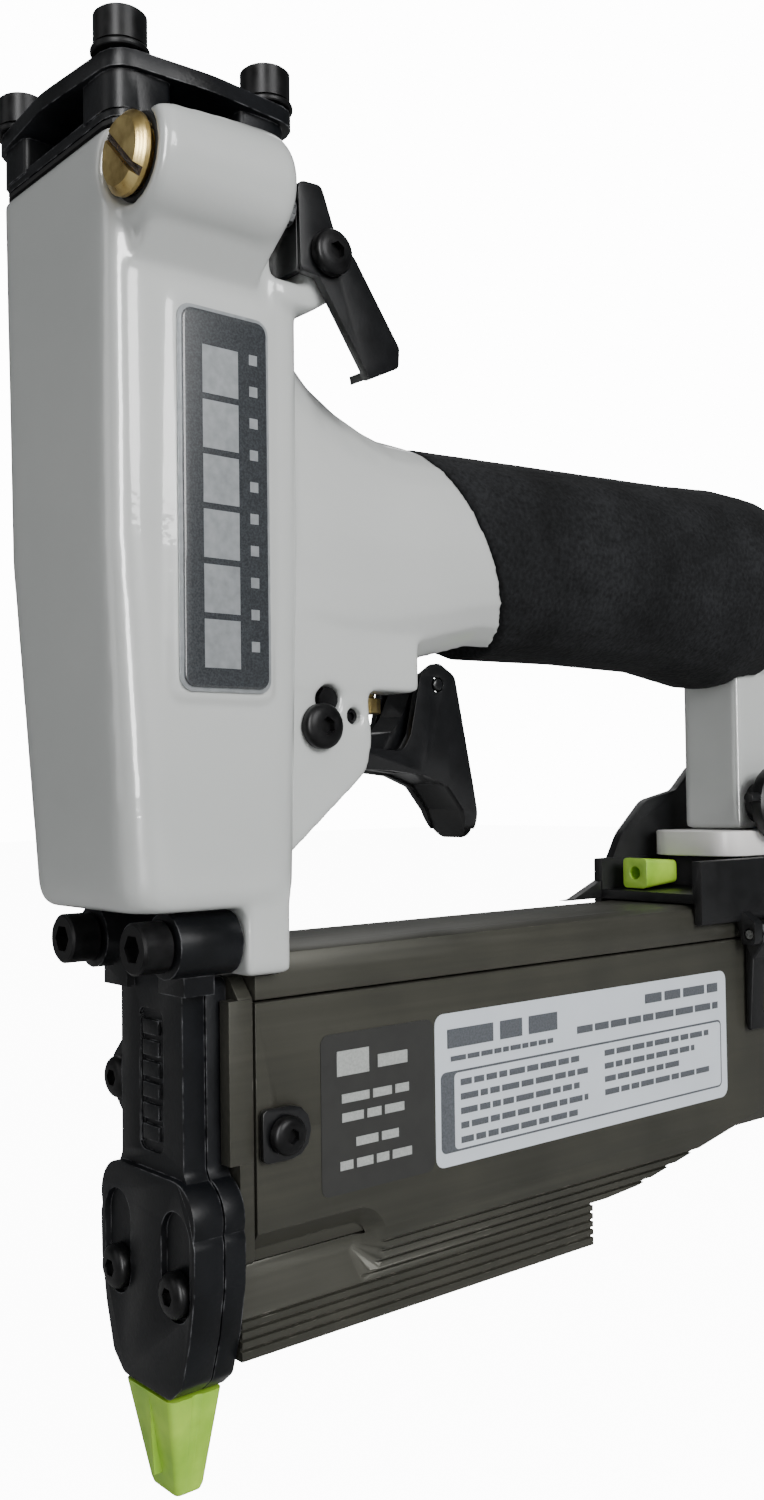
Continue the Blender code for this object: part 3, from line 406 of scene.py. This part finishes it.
# ---------------------------------------------------------------- Socket-head screws
# Four long cap screws and two nose bolts: rolled alloy steel, oil-blacked, with a knurled head
# of 44 fine ridges, a hexagon socket, and a lock washer under the cap screws' heads.
blacked, tree, shader = new_material("oil_blacked_steel", Metallic=0.35, Specular_IOR_Level=0.25)
smut = noise(tree, 420.0, 5.0)
two_tones(tree, shader, smut, "09090A", "1B1B1C", 0.3, 0.8)
roughened(tree, shader, smut, 0.26, 0.5)
bumped(tree, shader, smut, 0.15, 0.00005)

ridges = 44
head_radius, head_height, head_chamfer, hexagon = 4.25, 5.0, 0.35, 4.0
knurled = bar((0, 0, head_height / 2), head_radius, head_height, sides=ridges * 2)
# Every other corner is pulled in, which leaves the ridges, and the ends are drawn in and chamfered.
only(knurled)
bpy.ops.object.mode_set(mode="EDIT")
bpy.ops.mesh.select_all(action="SELECT")
bpy.ops.object.mode_set(mode="OBJECT")
for corner in knurled.data.vertices:
    step = round(math.atan2(corner.co.y, corner.co.x) / (math.pi / ridges)) % 2
    corner.select = step == 0
bpy.ops.object.mode_set(mode="EDIT")
bpy.ops.mesh.select_mode(type="VERT")
bpy.ops.transform.resize(value=(0.955, 0.955, 1))
bpy.ops.object.mode_set(mode="OBJECT")
bpy.ops.object.mode_set(mode="EDIT")
bpy.ops.mesh.select_mode(type="FACE")
bpy.ops.mesh.select_all(action="DESELECT")
bpy.ops.object.mode_set(mode="OBJECT")
for face in knurled.data.polygons:
    face.select = abs(face.normal.z) > 0.9
bpy.ops.object.mode_set(mode="EDIT")
bpy.ops.mesh.extrude_region_move()
bpy.ops.transform.resize(value=(0.9, 0.9, 1.0))
bpy.ops.object.mode_set(mode="OBJECT")
for corner in knurled.data.vertices:
    if corner.co.z > head_height / 2 * mm and math.hypot(corner.co.x, corner.co.y) >= 3.9 * mm:
        corner.co.z -= head_chamfer * mm
join_in(knurled, bar((0, 0, 4.2), hexagon / math.sqrt(3), 3.2, sides=6), "DIFFERENCE")
join_in(knurled, bar((0, 0, -6), 2.0, 12.2, sides=24))
washer = bar((0, 0, -0.85), 4.5, 1.0)
apply_modifier(washer, "BEVEL", width=0.3 * mm, segments=2)
washered = new_object("cap_screw_model", knurled.data.copy())
join_in(washered, washer)
for number, node in enumerate(("cap_screw_1", "cap_screw_2", "cap_screw_3", "cap_screw_4")):
    low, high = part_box(node)
    head = new_object(f"{node}_knurled", washered.data.copy())
    seat = ((low.x + high.x) / 2, (low.y + high.y) / 2, high.z - head_height * mm)
    head.data.transform(Matrix.Translation(seat) @ Matrix.Rotation(number * 0.7, 4, "Z"))
    head.data.materials.append(blacked)
    shade(head, 22)
    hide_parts(node)
    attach(head, "tool")
for node in ("nose_bolt_left", "nose_bolt_right"):
    low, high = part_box(node)
    head = new_object(f"{node}_knurled", knurled.data.copy())
    seat = (low.x + head_height * mm, (low.y + high.y) / 2, (low.z + high.z) / 2)
    head.data.transform(Matrix.Translation(seat) @ Matrix.Rotation(math.radians(-90), 4, "Y"))
    head.data.materials.append(blacked)
    shade(head, 22)
    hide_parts(node)
    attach(head, "tool")
for model in (knurled, washered):
    bpy.data.objects.remove(model, do_unlink=True)

# ---------------------------------------------------------------- Small screws
# Button-head screws hold the nose, lug, bracket, trigger pin, duster lever and hub. They are cold
# headed and blacked, with a domed top and a hexagon socket.
button = bar((0, 0, 0.5), 1.0, 1.0, sides=40)
ease_edges(button, 0.55, 5, 60)
for corner in button.data.vertices:
    if corner.co.z < 0.4 * mm and math.hypot(corner.co.x, corner.co.y) > 0.3 * mm:
        corner.co.x, corner.co.y = Vector((corner.co.x, corner.co.y)).normalized() * mm
# Each row gives the axis, the head's height and the hexagon's share of the head's radius.
for node, along, height, hole in (
        ("nose_screw_left", 0, 2.4, 0.42), ("nose_screw_right", 0, 2.4, 0.42), ("lug_screw", 0, 2.6, 0.42),
        ("cover_bracket_screw", 1, 1.9, 0.4), ("trigger_pin_screw", 1, 2.2, 0.4), ("hub_screw", 1, 1.8, 0.4),
        ("duster_lever_screw", 1, 2.2, 0.4), ("foot_screw_left", 2, 3.2, 0.42),
        ("foot_screw_right", 2, 3.2, 0.42)):
    low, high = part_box(node)
    centre, reach = (low + high) / 2, (high - low)[along] / mm
    radius = min((high - low)[axis] for axis in range(3) if axis != along) / 2 / mm
    head = new_object(f"{node}_button", button.data.copy())
    head.data.transform(Matrix.Diagonal((radius, radius, height, 1)))
    join_in(head, bar((0, 0, height), hole * radius, height * 1.1, sides=6), "DIFFERENCE")
    join_in(head, bar((0, 0, (height - reach) / 2), 1.4, reach - height + 0.6, sides=20))
    face_way = (Matrix.Rotation(math.radians(-90), 4, "Y"), Matrix.Rotation(math.radians(90), 4, "X"),
                Matrix.Rotation(math.pi, 4, "X"))[along]
    seat = centre.copy()
    seat[along] = low[along] + height * mm
    head.data.transform(Matrix.Translation(seat) @ face_way)
    head.data.materials.append(blacked)
    shade(head, 35)
    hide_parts(node)
    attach(head, "magazine_cover" if node == "cover_bracket_screw" else "tool")
bpy.data.objects.remove(button, do_unlink=True)
# A hollow roll pin fills the small hole beside the trigger's pin.
stop_pin = bar((stop_x, -9.9, stop_z), 1.35, 1.6, "Y", sides=28)
join_in(stop_pin, bar((stop_x, -10.6, stop_z), 0.8, 1.0, "Y", sides=20), "DIFFERENCE")
stop_pin.name = "cheek_roll_pin"
stop_pin.data.materials.append(blacked)
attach(stop_pin, "tool")

# ---------------------------------------------------------------- Duster nozzle
# A turned brass disc with a sawn slot, pressed over a black o-ring in the boss. Its face shows
# fine tool rings and the slot is dark with old thread sealant.
brass, tree, shader = new_material("brass_turned", Metallic=1.0)
place = add_node(tree, "ShaderNodeTexCoord")
centred = add_node(tree, "ShaderNodeMapping", {"Location": (0, -nozzle_y * mm, -nozzle_z * mm)},
                   Vector=place.outputs["Object"])
rings = add_node(tree, "ShaderNodeTexWave", {"wave_type": "RINGS", "rings_direction": "X", "Scale": 900.0,
                                             "Distortion": 0.6}, Vector=centred.outputs[0])
stain = noise(tree, 350.0, 4.0)
two_tones(tree, shader, stain, "A88A4C", "D9C284", 0.25, 0.65)
roughened(tree, shader, stain, 0.2, 0.42)
bumped(tree, shader, rings.outputs["Fac"], 0.12, 0.00004)

sealant, tree, shader = new_material("thread_sealant_dried", Roughness=0.75)
lumps = noise(tree, 1600.0, 4.0)
two_tones(tree, shader, lumps, "1C130C", "5A4630")

axis = Matrix.Translation((0, nozzle_y * mm, nozzle_z * mm))
sawn_askew = axis @ Matrix.Rotation(math.radians(-45), 4, "X") @ axis.inverted()
nozzle = bar((-19.9, nozzle_y, nozzle_z), 6.05, 3.0, "X", sides=72)
ease_edges(nozzle, 1.15, 1, 60)
join_in(nozzle, bar((-15.5, nozzle_y, nozzle_z), 4.3, 6, "X"))
slot = block((-24, -23.0, 198), (-20.2, -21.6, 213))
slot.data.transform(sawn_askew)
join_in(nozzle, slot, "DIFFERENCE")
shade(nozzle, 30)
nozzle.name = "duster_nozzle_turned"
nozzle.data.materials.append(brass)
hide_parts("duster_nozzle")
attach(nozzle, "tool")
fill = block((-20.35, -22.95, 199.2), (-20.1, -21.65, 211.2))
apply_modifier(fill, "SUBSURF", subdivision_type="SIMPLE", levels=4, render_levels=4)
random.seed(4)
for corner in fill.data.vertices:
    if corner.co.x < -20.3 * mm:
        corner.co.x += random.uniform(-0.35, 0.1) * mm
fill.data.transform(sawn_askew)
fill.name = "nozzle_slot_residue"
fill.data.materials.append(sealant)
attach(fill, "tool")

# ---------------------------------------------------------------- Pressed black steel
# Trigger, duster lever, bracket and rivet are pressed from sheet steel and dipped in gloss black
# paint, with their folded edges eased round.
gloss_black, tree, shader = new_material("gloss_black_paint", Specular_IOR_Level=0.3, Coat_Weight=0.35,
                                         Coat_Roughness=0.1)
dust = noise(tree, 260.0, 4.0)
two_tones(tree, shader, dust, "050506", "0F1013")
roughened(tree, shader, dust, 0.24, 0.42)
bumped(tree, shader, dust, 0.12, 0.0001)
for node, width, body in (("trigger", 0.45, "trigger"), ("duster_lever", 0.4, "duster_lever"),
                          ("cover_bracket", 0.3, "magazine_cover"), ("lever_rivet", 0.4, "trigger")):
    piece = merged_copy(node, f"{node}_pressing")
    if node == "trigger":
        corners = block((18, -9, 101), (70, 9, 108.4))
        join_in(corners, bar((44, 0, 108.6), 6.15, 60, "X", sides=64), "DIFFERENCE")
        join_in(piece, corners, "DIFFERENCE")
    ease_edges(piece, width, 3, 32)
    shade(piece, 50)
    piece.data.materials.append(gloss_black)
    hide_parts(node)
    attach(piece, body)

# ---------------------------------------------------------------- Nose tip
# The no-mar tip is cast in soft green urethane and pushed over the nose's tongue. It has a rib down
# its front and a satin skin that lets a little light in.
green, tree, shader = new_material("urethane_cast_green", Roughness=0.42, Subsurface_Weight=0.12)
shader.inputs["Subsurface Radius"].default_value = (0.002, 0.003, 0.0005)
cloud = noise(tree, 160.0, 3.0)
two_tones(tree, shader, cloud, "93C734", "B5E245", 0.3, 0.7)
fine = noise(tree, 1400.0, 2.0)
bumped(tree, shader, fine, 0.2, 0.00006)
for node, width in (("no_mar_tip", 0.4), ("spare_tip", 0.3)):
    piece = merged_copy(node, f"{node}_moulding")
    if node == "no_mar_tip":
        rib = block((-5.3, -0.45, 3.0), (-2.4, 0.45, 16.3))
        for corner in rib.data.vertices:
            corner.co.x += 0.95 * mm * (corner.co.z < 8 * mm)
        join_in(piece, rib)
        for across in (-1, 1):
            flute = bar((-0.4, 8.1 * across, 8.3), 1.35, 22, sides=24)
            flute.data.transform(Matrix.Translation((0, 7.0 * mm * across, 16.6 * mm))
                                 @ Matrix.Rotation(math.radians(-9.5 * across), 4, "X")
                                 @ Matrix.Translation((0, -7.0 * mm * across, -16.6 * mm)))
            join_in(piece, flute, "DIFFERENCE")
    ease_edges(piece, width, 3, 32)
    shade(piece, 50)
    piece.data.materials.append(green)
    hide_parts(node)
    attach(piece, "tool")

# ---------------------------------------------------------------- Magazine
# Rail, cover, front plate and stop are aluminium extrusions, satin etched and anodised a dark olive
# grey, with faint die lines along them. The etched grain is under 0.1 mm, and is drawn at 0.5 mm.
anodised, tree, shader = new_material("anodised_aluminium_olive", Metallic=0.4, Specular_IOR_Level=0.4)
place = add_node(tree, "ShaderNodeTexCoord")
drawn = add_node(tree, "ShaderNodeMapping", {"Scale": (0.03, 1, 1)}, Vector=place.outputs["Object"])
lines = noise(tree, 900.0, 3.0, drawn.outputs[0])
cloud = noise(tree, 35.0, 2.0)
both = add_node(tree, "ShaderNodeMath", {"operation": "MULTIPLY_ADD", 1: 0.3}, i0=lines, i2=cloud)
two_tones(tree, shader, both.outputs[0], "35352F", "4A4941", 0.35, 0.9)
roughened(tree, shader, lines, 0.34, 0.5)
fine = noise(tree, 2200.0, 2.0)
bumped(tree, shader, fine, 0.15, 0.00005)
wear(tree, shader, worn_edges(tree, 0.25, 300.0, 0.56, 0.8), "8B897E")
for node, width in (("magazine_rail", 0.3), ("magazine_front_plate", 0.4), ("magazine_rear_stop", 0.4)):
    piece = eased_copy(node, f"{node}_extrusion", width)
    piece.data.materials.append(anodised)
    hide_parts(node)
    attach(piece, "tool")

# ---------------------------------------------------------------- Sliding cover
# The cover is extruded like the rail. Its foot is a ribbed finger grip, with eight grooves at
# 1.55 mm pitch, and a round-ended scoop is machined through the ribs at the sight slot.
cover = merged_copy("magazine_cover", "magazine_cover_extrusion")
lowest, pitch, width = 23.6, 1.55, 0.5
for side in (-1, 1):
    for step in range(8):
        height = lowest + pitch * step
        near, far = sorted((12.1 * side, 14 * side))
        groove = block((0, near, height), (170, far, height + width))
        join_in(cover, groove, "DIFFERENCE")
scoop = bar((28.3, -11.7, 35.1), 7.9, 4.4, "Y", end_radius=1.7, sides=64)
for corner in scoop.data.vertices:
    if corner.co.x < 28.2 * mm:
        corner.co.x -= 30 * mm
join_in(cover, scoop, "DIFFERENCE")
# A thin black sheet of moulded nitrile rubber behind the sight slot is painted shade for the channel's
# inside, where the real feed track is dark as well.
nitrile_and_slot_shade, tree, shader = new_material("nitrile_moulded_and_slot_shade", Roughness=0.55, Specular_IOR_Level=0.3)
cloud = noise(tree, 500.0, 3.0)
two_tones(tree, shader, cloud, "060606", "131314")
# Painted shade: this dark sheet sits in the shadowed channel behind the slot.
slot_shade_sheet = block((5.2, -8.2, 31.5), (33.0, -7.8, 38.5))
slot_shade_sheet.name = "window_painted_shade"
slot_shade_sheet.data.materials.append(nitrile_and_slot_shade)
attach(slot_shade_sheet, "magazine_cover")
ease_edges(cover, 0.12, 1, 40)
shade(cover, 30)
cover.data.materials.append(anodised)
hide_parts("magazine_cover")
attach(cover, "magazine_cover")

# ---------------------------------------------------------------- Labels
# Two printed vinyl labels on the cover: a smoky clear one and a white one, both with square print
# set out in plain bars. Vinyl is smooth and satin, and its edge catches the light.
smoky, tree, shader = new_material("vinyl_smoky", Roughness=0.35, Specular_IOR_Level=0.4)
cloud = noise(tree, 220.0, 3.0)
two_tones(tree, shader, cloud, "2A2A29", "343432")
white_vinyl, tree, shader = new_material("vinyl_white", Roughness=0.4)
cloud = noise(tree, 90.0, 3.0)
two_tones(tree, shader, cloud, "CFD6DE", "DDE3E9")
ink, tree, shader = new_material("printing_ink_grey", Roughness=0.5)
dots = noise(tree, 2600.0, 1.0)
two_tones(tree, shader, dots, "3A3D42", "63676D")
pale_ink, tree, shader = new_material("printing_ink_pale", Roughness=0.5)
dots = noise(tree, 2600.0, 1.0)
two_tones(tree, shader, dots, "8F928F", "B9BCB9")


def sheet(name, x, z, front, thick, corner, material, body):
    """A thin upright sheet with rounded corners, its front face at Y = front, in millimetres."""
    made = block((x[0], front, z[0]), (x[1], front + thick, z[1]))
    only(made)
    bpy.ops.object.mode_set(mode="EDIT")
    bpy.ops.mesh.select_mode(type="EDGE")
    bpy.ops.mesh.select_all(action="DESELECT")
    bpy.ops.object.mode_set(mode="OBJECT")
    points = made.data.vertices
    for edge in made.data.edges:
        a, b = (points[i].co for i in edge.vertices)
        edge.select = abs(a.y - b.y) > thick * mm / 2
    bpy.ops.object.mode_set(mode="EDIT")
    bpy.ops.mesh.bevel(offset=corner * mm, segments=5)
    bpy.ops.object.mode_set(mode="OBJECT")
    made.name = name
    made.data.materials.append(material)
    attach(made, body)
    return made


def print_rows(name, rows, front, material, body):
    """Rows of short bars that stand for printed words: each row is x, z, length and letter height."""
    bars = []
    for x, z, length, tall in rows:
        reach = x
        while reach < x + length - tall * 0.6:
            word = min(random.uniform(1.6, 4.2) * tall, x + length - reach)
            bars.append(block((reach, front, z), (reach + word, front + 0.06, z + tall)))
            reach += word + 0.55 * tall
    only(*bars)
    bpy.ops.object.join()
    made = bpy.context.object
    made.name = name
    made.data.materials.clear()
    made.data.materials.append(material)
    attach(made, body)
    return made


random.seed(11)
sheet("label_smoky", (20.6, 45.9), (44.5, 71.4), -12.92, 0.1, 1.6, smoky, "magazine_cover")
print_rows("label_smoky_print", [(24.0, 64.2, 7.0, 4.2), (33.0, 64.6, 9.0, 2.2), (25.0, 59.6, 15.0, 1.5),
                                 (25.0, 56.4, 15.0, 1.5), (28.0, 52.0, 9.5, 1.5), (24.5, 48.4, 16.0, 1.5)],
           -12.98, pale_ink, "magazine_cover")
sheet("label_white", (46.3, 132.6), (44.5, 71.9), -12.92, 0.1, 2.0, white_vinyl,
      "magazine_cover")
sheet("label_white_border", (47.6, 130.6), (46.9, 61.4), -12.97, 0.08, 1.2, ink,
      "magazine_cover")
sheet("label_white_panel", (50.9, 130.2), (47.3, 61.0), -13.01, 0.06, 0.9, white_vinyl,
      "magazine_cover")
rows = [(49.3, 65.6, 29.0, 3.4), (50.1, 63.2, 27.0, 0.9), (105.0, 67.6, 24.5, 1.9), (84.0, 64.0, 45.5, 1.4)]
rows += [(52.4, 58.6 - 2.6 * step, 32.0 + 2.5 * (step % 2), 1.15) for step in range(5)]
rows += [(92.0, 58.6 - 2.6 * step, 34.0 - 5.0 * (step % 3), 1.15) for step in range(4)]
print_rows("label_white_print", rows, -13.07, ink, "magazine_cover")

# ---------------------------------------------------------------- Badge
# A die-cut foil badge under a domed clear resin: a bright silver rim, a dark grey field with fine
# metal flake, and plain silver blocks. Resin has a deep wet shine.
resin, tree, shader = new_material("badge_flake_under_resin", Roughness=0.35, Coat_Weight=1.0,
                                   Coat_Roughness=0.02)
flake = noise(tree, 3200.0, 2.0)
two_tones(tree, shader, flake, "202327", "43474B", 0.35, 0.8)
silver, tree, shader = new_material("silver_foil", Metallic=0.6, Roughness=0.3)
brushed = noise(tree, 700.0, 2.0)
two_tones(tree, shader, brushed, "8E9295", "BFC3C6")
sheet("badge_rim", (-10.2, 6.4), (127.6, 186.6), -19.9, 0.3, 2.2, silver, "tool")
dome = sheet("badge_dome", (-9.6, 5.8), (128.2, 186.0), -20.4, 0.6, 1.8, resin, "tool")
ease_edges(dome, 0.45, 4, 60)
shade(dome, 50)
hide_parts("badge")
blocks = [block((-6.2, -20.45, 131.2 + 8.4 * step), (0.3, -20.35, 138.6 + 8.4 * step)) for step in range(6)]
blocks += [block((2.4, -20.45, 134.0 + 5.0 * step), (3.9, -20.35, 135.6 + 5.0 * step)) for step in range(10)]
only(*blocks)
bpy.ops.object.join()
blocks = bpy.context.object
blocks.name = "badge_blocks"
blocks.data.materials.append(silver)
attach(blocks, "tool")

# ---------------------------------------------------------------- Black mouldings
# Saddle, latch and hook hub are glass-filled nylon, injection moulded: a close satin black with
# a faint cloudy bloom. The foot under the leg is ivory nylon.
def paint_node(node, material):
    """Gives a CAD node that is shown as it stands its material."""
    nodes[node].data.materials.clear()
    nodes[node].data.materials.append(material)


nylon, tree, shader = new_material("nylon_moulded_black", Specular_IOR_Level=0.35)
cloud = noise(tree, 240.0, 4.0)
two_tones(tree, shader, cloud, "060607", "101113")
roughened(tree, shader, cloud, 0.3, 0.5)
fine = noise(tree, 1800.0, 2.0)
bumped(tree, shader, fine, 0.2, 0.00005)
for node, width, body in (("rear_saddle", 0.5, "tool"), ("magazine_latch", 0.4, "magazine_latch"),
                          ("hook_hub", 0.4, "tool")):
    piece = eased_copy(node, f"{node}_moulding", width)
    piece.data.materials.append(nylon)
    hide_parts(node)
    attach(piece, body)
paint_node("head_valve", nylon)

ivory, tree, shader = new_material("nylon_moulded_ivory", Roughness=0.38, Subsurface_Weight=0.1)
shader.inputs["Subsurface Radius"].default_value = (0.002, 0.0018, 0.0015)
cloud = noise(tree, 120.0, 3.0)
two_tones(tree, shader, cloud, "E0DDDA", "F2F0EE")
piece = eased_copy("leg_foot", "leg_foot_moulding", 1.0)
piece.data.materials.append(ivory)
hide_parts("leg_foot")
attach(piece, "tool")

# ---------------------------------------------------------------- Bright steel
# Pins, plunger, piston, cylinder, springs, pusher and air plug are ground or drawn steel, bright and
# finely scratched: the real scratches are about 0.2 mm apart, and are drawn at 0.7 mm.
steel, tree, shader = new_material("steel_drawn_bright", Metallic=1.0)
scratch = noise(tree, 1500.0, 3.0)
two_tones(tree, shader, scratch, "7E8082", "B4B6B7")
roughened(tree, shader, scratch, 0.18, 0.4)
for node, finish in (("trigger_pin", blacked), ("valve_lever", gloss_black)):
    paint_node(node, finish)
for node in ("piston", "driver_blade", "duster_plunger", "trigger_valve_stem", "pin_strip", "pusher",
             "pusher_spring_roll", "latch_pin", "air_plug", "cylinder"):
    paint_node(node, steel)
# The two valve springs are wound from music wire.
for node, joint, keep in (("head_valve_spring", "head_valve_slide", 0.75),
                          ("trigger_valve_spring", "valve_stem_slide", 0.72)):
    coil = merged_copy(node, f"{node}_wound")
    coil.data.materials.append(steel)
    shade(coil, 60)
    low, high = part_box(node)
    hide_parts(node)
    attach(coil, "tool")
    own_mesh(coil)
paint_node("trigger_valve_body", brass)

# ---------------------------------------------------------------- Seals
# O-ring, gasket and piston seal are moulded nitrile rubber, smooth and dull, the same material as the sheet
# of painted shade behind the cover's slot. The bumper in the barrel's foot is cast in amber urethane.
bpy.ops.object.select_all(action="DESELECT")
bpy.ops.mesh.primitive_torus_add(location=(-18.1 * mm, nozzle_y * mm, nozzle_z * mm),
                                 rotation=(0, math.pi / 2, 0), major_radius=5.85 * mm,
                                 minor_radius=0.6 * mm, major_segments=72, minor_segments=16)
ring = bpy.context.object
bpy.ops.object.transform_apply(location=True, rotation=True, scale=True)
bpy.ops.object.shade_smooth()
ring.name = "duster_seal_ring"
ring.data.materials.append(nitrile_and_slot_shade)
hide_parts("duster_seal")
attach(ring, "tool")
for node in ("piston_seal", "cap_gasket"):
    paint_node(node, nitrile_and_slot_shade)
amber, tree, shader = new_material("urethane_cast_amber", Roughness=0.4)
cloud = noise(tree, 200.0, 3.0)
two_tones(tree, shader, cloud, "A8813A", "C69C50")
paint_node("bumper", amber)
